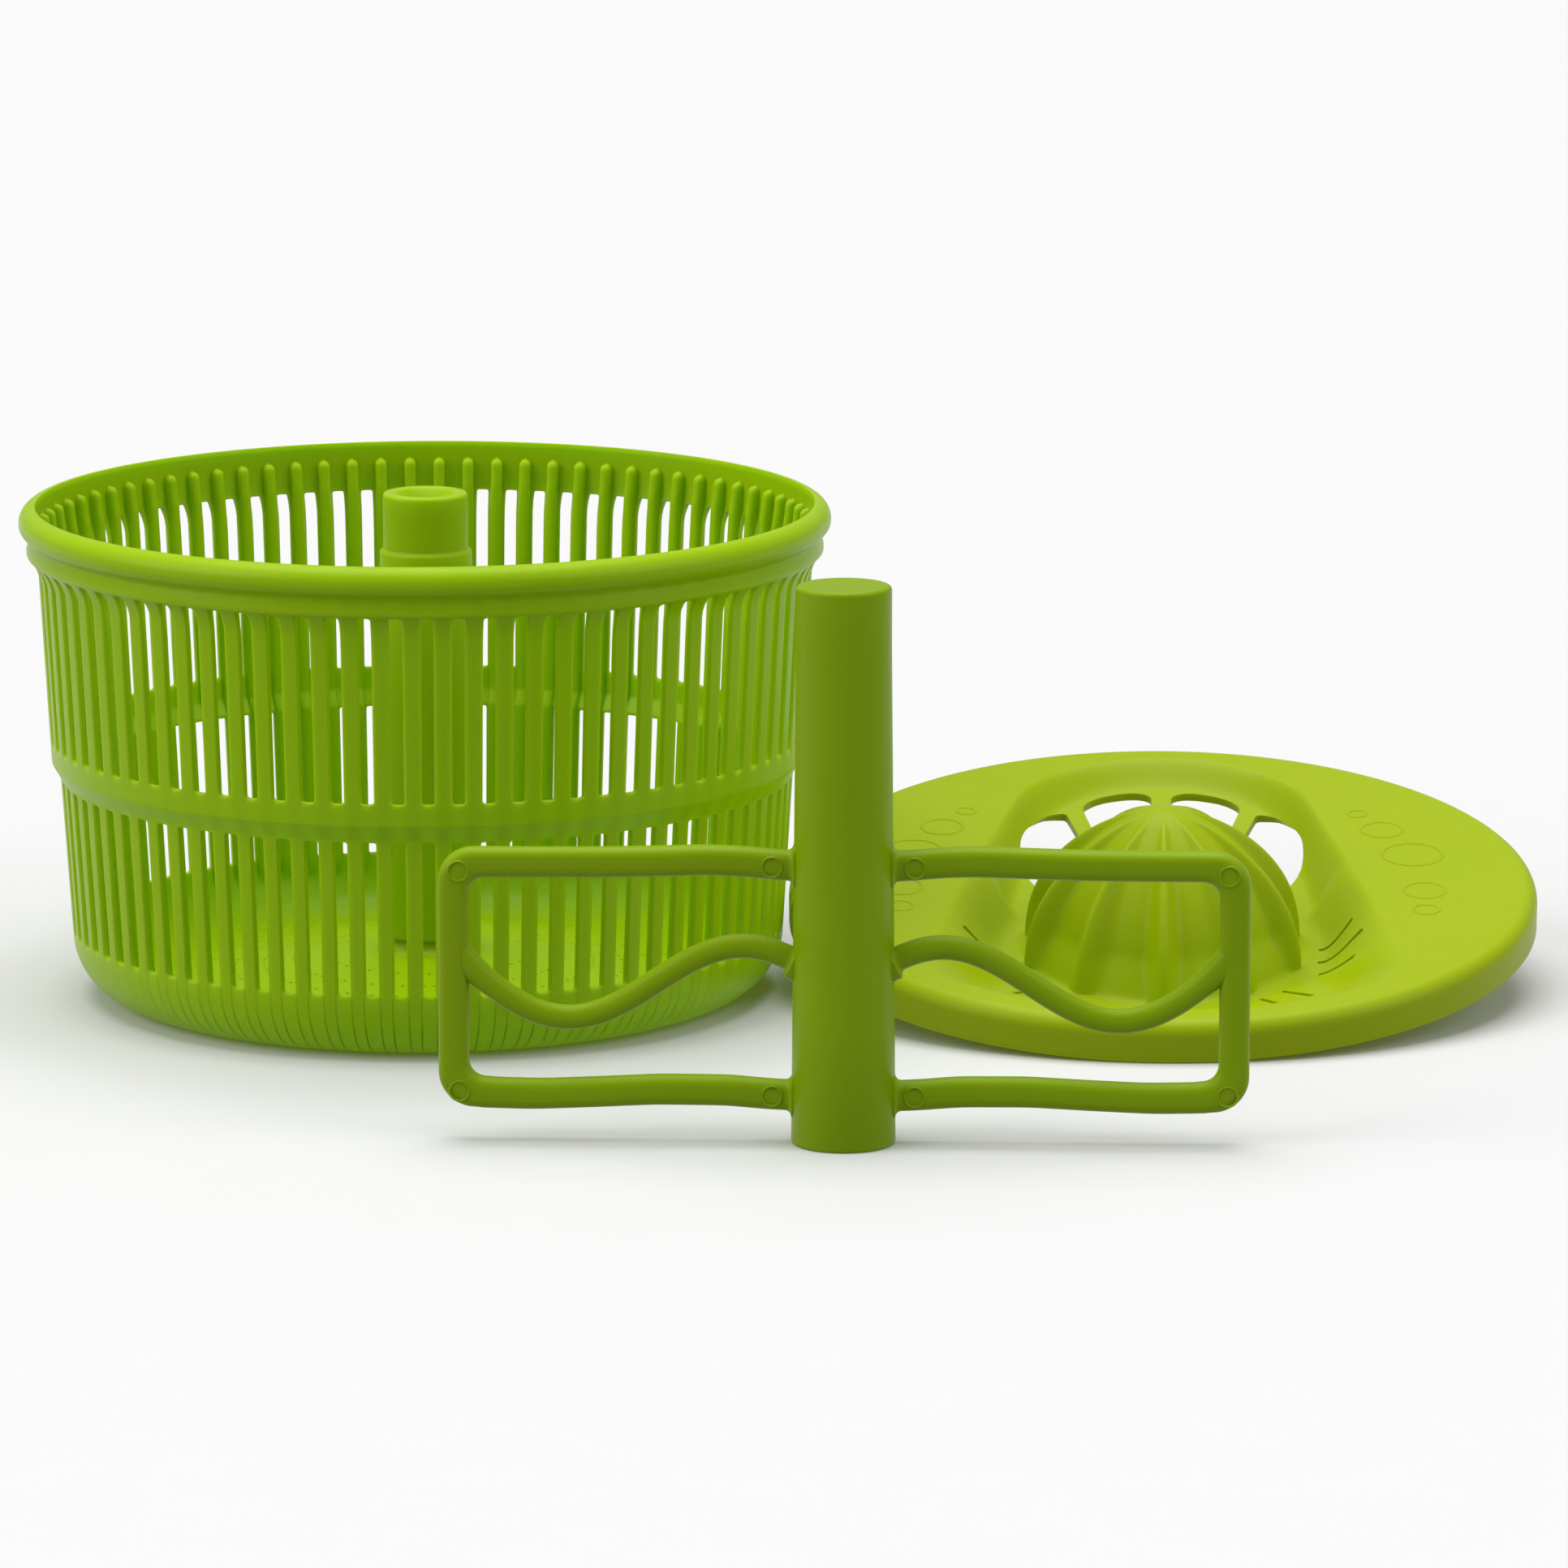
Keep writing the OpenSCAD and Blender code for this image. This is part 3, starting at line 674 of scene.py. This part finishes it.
def wing(paddle, side):
    """The wing's outer loop: out along the top arm, round the corners and back along the lower arm."""
    upper, lower = smooth_table(UPPER_SAG), smooth_table(LOWER_SAG)
    xs = [ARM_START_X, 11.5] + near_shaft() + list(np.linspace(16.5, ARM_END_X, 36))
    corner_x, inner_x = WING_REACH - WING_CORNER, WING_REACH - ARM_W - WING_INNER
    top_z, low_z = WING_HIGH - WING_CORNER, WING_LOW + WING_CORNER
    inner_top_z, inner_low_z = WING_HIGH - ARM_W - WING_INNER, WING_LOW + ARM_W + WING_INNER
    corner_steps = 12

    def along(x, end_x):
        return ARM_START_X + (x - ARM_START_X) * (end_x - ARM_START_X) / (ARM_END_X - ARM_START_X)

    outer = [(along(x, corner_x), WING_HIGH + curve_at(x, upper)) for x in xs]
    inner = [(along(x, inner_x), WING_HIGH - ARM_W + curve_at(x, upper)) for x in xs]
    outer += arc(corner_x, top_z, WING_CORNER, 90, 0, corner_steps)[1:]
    inner += arc(inner_x, inner_top_z, WING_INNER, 90, 0, corner_steps)[1:]
    for i in range(1, corner_steps):
        down = i / corner_steps
        outer.append((WING_REACH, top_z - (top_z - low_z) * down))
        inner.append((WING_REACH - ARM_W, inner_top_z - (inner_top_z - inner_low_z) * down))
    outer += arc(corner_x, low_z, WING_CORNER, 0, -90, corner_steps)
    inner += arc(inner_x, inner_low_z, WING_INNER, 0, -90, corner_steps)
    for x in reversed(xs[:-1]):
        outer.append((along(x, corner_x), WING_LOW + curve_at(x, lower)))
        inner.append((along(x, inner_x), WING_LOW + ARM_W + curve_at(x, lower)))
    bar(paddle, outer, inner, WING_T, ARM_EDGE_R, side)


def wave_z(x):
    """Height of the waved bar's middle line: over the crest, through the trough and up to the outer arm."""
    end_x = WING_REACH - ARM_W / 2
    span = 2 * (WING_REACH - TROUGH[0])
    if x < TROUGH[0]:
        turn = math.pi * (x - CREST[0]) / (TROUGH[0] - CREST[0])
        return (CREST[1] + TROUGH[1]) / 2 + (CREST[1] - TROUGH[1]) / 2 * math.cos(turn)
    rise = 2 * (WAVE_END_Z - TROUGH[1]) / (1 - math.cos(math.pi * (end_x - TROUGH[0]) / span))
    return TROUGH[1] + rise * (1 - math.cos(math.pi * (x - TROUGH[0]) / span)) / 2


def waved_bar(paddle, side):
    """The waved bar in the wing's middle, which widens where it runs into the outer arm."""
    xs = [9.0, 11.0] + near_shaft() + list(np.linspace(16.0, WING_REACH - ARM_W / 2, 56))
    top, bottom = [], []
    for x in xs:
        slope = (wave_z(x + 0.1) - wave_z(x - 0.1)) / 0.2
        length = math.hypot(1, slope)
        widen = 1.0 + 0.35 * max(0.0, (x - 86.0) / 10.0) ** 2
        dx, dz = -slope / length * WAVE_W / 2 * widen, WAVE_W / 2 / length * widen
        top.append((x + dx, wave_z(x) + dz))
        bottom.append((x - dx, wave_z(x) - dz))
    bar(paddle, top, bottom, WING_T - 0.4, WAVE_EDGE_R, side)


def pin_mark(paddle, x, y, z, facing):
    """The faint ring that an ejector pin leaves on a flat face."""
    steps = 36
    start = len(paddle.points)
    outline = arc(PIN_MARK_R, 0.0, PIN_MARK_LINE_R, 0, 300, 5)
    for radius, lift in outline:
        for j in range(steps):
            t = 2 * math.pi * j / steps
            paddle.points.append((x + radius * math.cos(t), y + facing * lift, z + radius * math.sin(t)))
    paddle.ring_faces(start, len(outline), steps)
    paddle.close_rows(start, start + (len(outline) - 1) * steps, steps)


def make_paddle():
    low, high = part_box("paddle_shaft")
    place = Matrix.Translation(((low.x + high.x) / 2, (low.y + high.y) / 2, 0))
    paddle = Moulding()
    paddle_shaft(paddle)
    for side in (-1, 1):
        wing(paddle, side)
        waved_bar(paddle, side)
        for x, z in PIN_MARKS:
            for facing in (-1, 1):
                pin_mark(paddle, side * x, facing * WING_T / 2, z, facing)
    paddle.piece("paddle_moulding", paddle_green, "paddle",
                 ("paddle_shaft", "left_wing", "right_wing"), place=place)


# ---- juicer lid ----
def well_support():
    """Points of the circles that the well's outline is stretched round."""
    corner = WELL_FRONT_R - WELL_CORNER_R
    cx, cy = corner * math.cos(WELL_CORNER_A), -corner * math.sin(WELL_CORNER_A)
    support = []
    for px, py, r in ((cx, cy, WELL_CORNER_R), (-cx, cy, WELL_CORNER_R), (0, WELL_BACK_Y, WELL_BACK_R)):
        support += arc(px, py, r, 0, 360, 120)
    front = 90 - math.degrees(WELL_CORNER_A)
    return support + arc(0, 0, WELL_FRONT_R, -90 - front, -90 + front, 40)


def well_outline():
    """The well's outline round the reamer's axis, as a table of angle and distance."""
    points = np.array(well_support()) - np.array([0, REAMER_Y])
    hull = convex_outline([tuple(p) for p in points])
    closed = hull + [hull[0]]
    angles, lengths = [], []
    for (ax, ay), (bx, by) in zip(closed, closed[1:]):
        for f in np.linspace(0, 1, 12, endpoint=False):
            x, y = ax + (bx - ax) * f, ay + (by - ay) * f
            angles.append(math.atan2(y, x))
            lengths.append(math.hypot(x, y))
    order = np.argsort(angles)
    return np.array(angles)[order], np.array(lengths)[order]


def convex_outline(points):
    """The points that a band stretched round all of them would touch, in order."""
    points = sorted(set(points))

    def half(seq):
        out = []
        for p in seq:
            while len(out) > 1 and ((out[-1][0] - out[-2][0]) * (p[1] - out[-2][1])
                                    - (out[-1][1] - out[-2][1]) * (p[0] - out[-2][0])) <= 0:
                out.pop()
            out.append(p)
        return out[:-1]

    return half(points) + half(points[::-1])


def well_level(r, foot_r, well_r, wall_w):
    """Depth of the well at a distance from the reamer's axis: a gently rising floor, then a soft wall."""
    wall_foot = max(well_r - wall_w, foot_r + 1.0)
    floor = -WELL_DEPTH + WELL_SLOPE * (min(r, wall_foot) - foot_r)
    t = (r - wall_foot) / (well_r + 2.5 - wall_foot)
    t = min(max(t, 0.0), 1.0)
    return floor * (1 - t * t * (3 - 2 * t))


def dome_r(t):
    """The reamer's radius along its ridges, from its foot at 0 to its tip at 1."""
    return REAMER_R * (1 - t ** 2.2) ** 0.68


def window_out(degrees_off_back):
    """Distance from the reamer's axis to the far side of the circle that holds the windows."""
    a = math.radians(degrees_off_back)
    inside = WINDOW_R ** 2 - (WINDOW_Y * math.sin(a)) ** 2
    return WINDOW_Y * math.cos(a) + math.sqrt(max(inside, 0.0))


def lid_openings():
    """Angular ranges of the windows and the narrow slots, in degrees, with the kind of each."""
    windows = [(RIB_SPREAD, RIB_ANGLE - RIB_SPREAD), (RIB_ANGLE + RIB_SPREAD, WINDOW_END_A)]
    spans = [(90 + a, 90 + b, "window") for a, b in windows]
    spans += [(90 - b, 90 - a, "window") for a, b in windows]
    for off in SLOT_ANGLES:
        for middle in (-90 - off, -90 + off):
            spans.append((middle - SLOT_SPREAD, middle + SLOT_SPREAD, "slot"))
    return sorted(spans)


def turn_from(angle, other):
    """Size of the turn between two directions, in degrees."""
    return abs((angle - other + 180) % 360 - 180)


def opening_range(angle, spans):
    """Inner and outer reach of the band in which openings are cut, at an angle in degrees."""
    off_back = turn_from(angle, 90)
    window_far = window_out(min(off_back, WINDOW_END_A))
    round_out = min(WINDOW_ROUND_OUT, (window_far - WINDOW_IN) * 0.42)
    if off_back <= WINDOW_END_A + 4:
        ease = 1.0
        for low, high, kind in spans:
            if kind == "window" and low - 0.01 <= angle <= high + 0.01:
                into_end = max(0.0, 1 - min(angle - low, high - angle) / WINDOW_ROUND_A)
                ease = 1 - math.sqrt(max(0.0, 1 - into_end ** 2))
        return WINDOW_IN + WINDOW_ROUND_IN * ease, window_far - round_out * ease
    turns = [0.0, *SLOT_ANGLES, 104.0, 136.0]
    near = [SLOT_RANGES[0][0], *(low for low, _ in SLOT_RANGES), 44.0, WINDOW_IN + WINDOW_ROUND_IN]
    far = [48.0, *(high for _, high in SLOT_RANGES), 52.0, window_far - 1.5]
    off_front = turn_from(angle, -90)
    return float(np.interp(off_front, turns, near)), float(np.interp(off_front, turns, far))


def lid_columns(spans):
    """The directions, round the reamer's axis, in which the lid's skin has points."""
    edges = {round(a, 4) for low, high, _ in spans for a in (low, high)}
    edges |= {round((low + high) / 2, 4) for low, high, kind in spans if kind == "slot"}
    for low, high, kind in spans:
        if kind == "window":
            for d in (0.15, 0.5, 1.1, 2.0, 3.2, 5.0):
                edges |= {low + d, high - d}
    plain = {float(a) for a in np.arange(-180, 180, 0.9) if all(abs(a - e) > 0.35 for e in edges)}
    kept = []
    for column in sorted({round((c + 180) % 360 - 180, 4) for c in edges | plain}):
        if not kept or column - kept[-1] > 0.05:
            kept.append(column)
    return kept


def reamer_line(a):
    """The reamer in one direction, from its tip to its foot: a dome with hollows between its ridges."""
    steps = 44
    rise = REAMER_TIP + WELL_DEPTH
    ridge = abs(math.cos(FLUTES / 2 * (a + math.pi / 2))) ** RIDGE_SHARPNESS
    line = []
    for i in range(1, steps + 1):
        t = 1 - (i / steps) ** 1.7
        depth = FLUTE_DEPTH * (1 - t ** 4) * (0.35 + 0.65 * min(1.0, t / 0.25))
        r = dome_r(t) - depth * (1 - ridge) * min(1.0, dome_r(t) / 12.0)
        line.append((r, -WELL_DEPTH + rise * t))
    line[-1] = (line[-1][0], -WELL_DEPTH + 0.6)
    return line + [(REAMER_R + 0.2, -WELL_DEPTH + 0.4), (REAMER_R + 0.9, -WELL_DEPTH + 0.15),
                   (REAMER_R + 1.9, -WELL_DEPTH)]


def well_line(angle, near, far, well_r, flat_end):
    """The well in one direction and the flat beyond it, with close steps where openings are cut."""
    foot_r = REAMER_R + 2.5
    far = min(far, well_r - 3.5)
    near = min(near, far - 2)
    band = list(np.linspace(foot_r, near, ROWS_NEAR))
    band += list(np.linspace(near, far, ROWS_OPEN + 1))[1:]
    band += list(np.linspace(far, well_r + 4, 26))[1:]
    band = [min(r, flat_end - 0.1) for r in band]
    band += list(np.linspace(band[-1], flat_end, 5))[1:]
    wall_w = float(np.interp(turn_from(angle, 90), (55, 85), (WELL_WALL_W, WELL_SIDE_W)))
    return [(r, well_level(r, foot_r, well_r, wall_w)) for r in band]


def rim_line(ca, sa):
    """The lid's rounded edge and its skirt in one direction."""
    line = []
    for degrees in range(10, 91, 10):
        t = math.radians(degrees)
        reach = circle_reach(ca, sa, LID_R - LID_EDGE_R + LID_EDGE_R * math.sin(t))
        line.append((reach, -LID_EDGE_R + LID_EDGE_R * math.cos(t)))
    edge = circle_reach(ca, sa, LID_R)
    return line + [(edge, z) for z in (-6.5, -9.0, -SKIRT_H + 0.4)]


def lid_sheet(lid):
    """The upper skin of the lid in one sheet: reamer, well, flat and skirt. Its thickness comes later."""
    outline_a, outline_r = well_outline()
    spans = lid_openings()
    columns = lid_columns(spans)
    count = len(columns)
    grid = []
    for angle in columns:
        a = math.radians(angle)
        ca, sa = math.cos(a), math.sin(a)
        well_r = float(np.interp(a, outline_a, outline_r, period=2 * math.pi))
        near, far = opening_range(angle, spans)
        dome = reamer_line(a)
        line = dome + well_line(angle, near, far, well_r, circle_reach(ca, sa, LID_R - LID_EDGE_R))
        line += rim_line(ca, sa)
        grid.append([(r * ca, REAMER_Y + r * sa, z) for r, z in line])
    rows = len(grid[0])
    start = lid.add([grid[j][i] for i in range(rows) for j in range(count)])
    first_open = len(dome) + ROWS_NEAR - 1
    nexts = columns[1:] + [columns[0] + 360]
    middles = [(here + there) / 2 for here, there in zip(columns, nexts)]
    is_cut = [any(low < m < high for low, high, _ in spans) for m in middles]

    def is_open(i, j):
        return is_cut[j] and first_open <= i < first_open + ROWS_OPEN

    lid.ring_faces(start, rows, count, is_open)
    tip = lid.add([(0.0, REAMER_Y, REAMER_TIP)])
    for j in range(count):
        lid.faces.append((tip, start + j, start + (j + 1) % count))


def circle_reach(ca, sa, radius):
    """Distance from the reamer's axis to a circle round the lid's centre."""
    b = REAMER_Y * sa
    return -b + math.sqrt(b * b + radius * radius - REAMER_Y * REAMER_Y)


def embossed_ring(lid, x, y, r):
    """A fine raised ring on the lid's flat."""
    steps = 48
    start = len(lid.points)
    for out, z in RING_MARK_PROFILE:
        for j in range(steps):
            t = 2 * math.pi * j / steps
            lid.points.append((x + (r + out) * math.cos(t), y + (r + out) * math.sin(t), z))
    lid.ring_faces(start, len(RING_MARK_PROFILE), steps)


def lid_place():
    """Where the lid lies: leaning towards the front, with its front edge on the table."""
    low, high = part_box("lid_plate")
    height = LID_R * math.sin(LID_TILT) + SKIRT_H * math.cos(LID_TILT)
    return (Matrix.Translation(((low.x + high.x) / 2, LID_Y * MM, height * MM))
            @ Matrix.Rotation(LID_TILT, 4, "X"))


def make_lid():
    lid = Moulding()
    lid_sheet(lid)
    made = lid.piece("lid_moulding", lid_green, "juicer", ("lid_plate", "juice_well", "reamer"),
                     sharp=60, place=lid_place())
    wall = made.modifiers.new("wall", "SOLIDIFY")
    wall.thickness = LID_T * MM
    wall.offset = -1
    wall.use_even_offset = False
    bevel = made.modifiers.new("edges", "BEVEL")
    bevel.width = 0.45 * MM
    bevel.segments = 3
    bevel.limit_method = "ANGLE"
    bevel.angle_limit = math.radians(60)
    bevel.use_clamp_overlap = True
    bevel.harden_normals = False
    rings = Moulding()
    for angle, reach, r in RING_MARKS:
        for sign in (1, -1):
            a = math.radians(angle)
            embossed_ring(rings, sign * reach * math.cos(a), reach * math.sin(a), r)
    rings.piece("lid_ring_marks", lid_green, "juicer", (), place=lid_place())


def finish_cad_nodes():
    """The frame's own pieces that stay as they are get their finish."""
    for name, material in (("basket_bush", pivot_plastic), ("pivot_foot", pivot_plastic),
                           ("paddle_bush", pivot_plastic), ("paddle_foot", pivot_plastic),
                           ("left_rest_foot", lid_green), ("right_rest_foot", lid_green)):
        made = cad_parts[name]
        made.data.materials.clear()
        made.data.materials.append(material)


# ---- studio ----
def make_studio():
    """A white table that goes on to the horizon, an even sky and three wide soft lights."""
    mesh = bpy.data.meshes.new("ground")
    corners = [(-6, -4, 0), (6, -4, 0), (6, 12, 0), (-6, 12, 0)]
    mesh.from_pydata(corners, [], [(0, 1, 2, 3)])
    ground = bpy.data.objects.new("ground", mesh)
    bpy.context.scene.collection.objects.link(ground)
    mesh.materials.append(paper("white_paper", (0.785, 0.785, 0.785)))
    ground.visible_diffuse = False

    world = bpy.data.worlds.new("studio")
    bpy.context.scene.world = world
    world.use_nodes = True
    back = world.node_tree.nodes["Background"]
    back.inputs["Color"].default_value = (1, 1, 1, 1)
    back.inputs["Strength"].default_value = 0.30

    def softbox(name, aim, strength, spread):
        """A wide soft light from one direction, the same all over the table."""
        data = bpy.data.lights.new(name, "SUN")
        data.energy = strength
        data.angle = math.radians(spread)
        lamp = bpy.data.objects.new(name, data)
        lamp.rotation_euler = Vector(aim).to_track_quat("-Z", "Y").to_euler()
        bpy.context.scene.collection.objects.link(lamp)

    softbox("overhead", (0.05, -0.12, -1.0), 2.10, 55)
    softbox("left", (1.0, 0.35, -0.60), 1.15, 45)
    softbox("right", (-1.0, 0.35, -0.60), 0.65, 45)


make_basket()
make_paddle()
make_lid()
finish_cad_nodes()
make_studio()
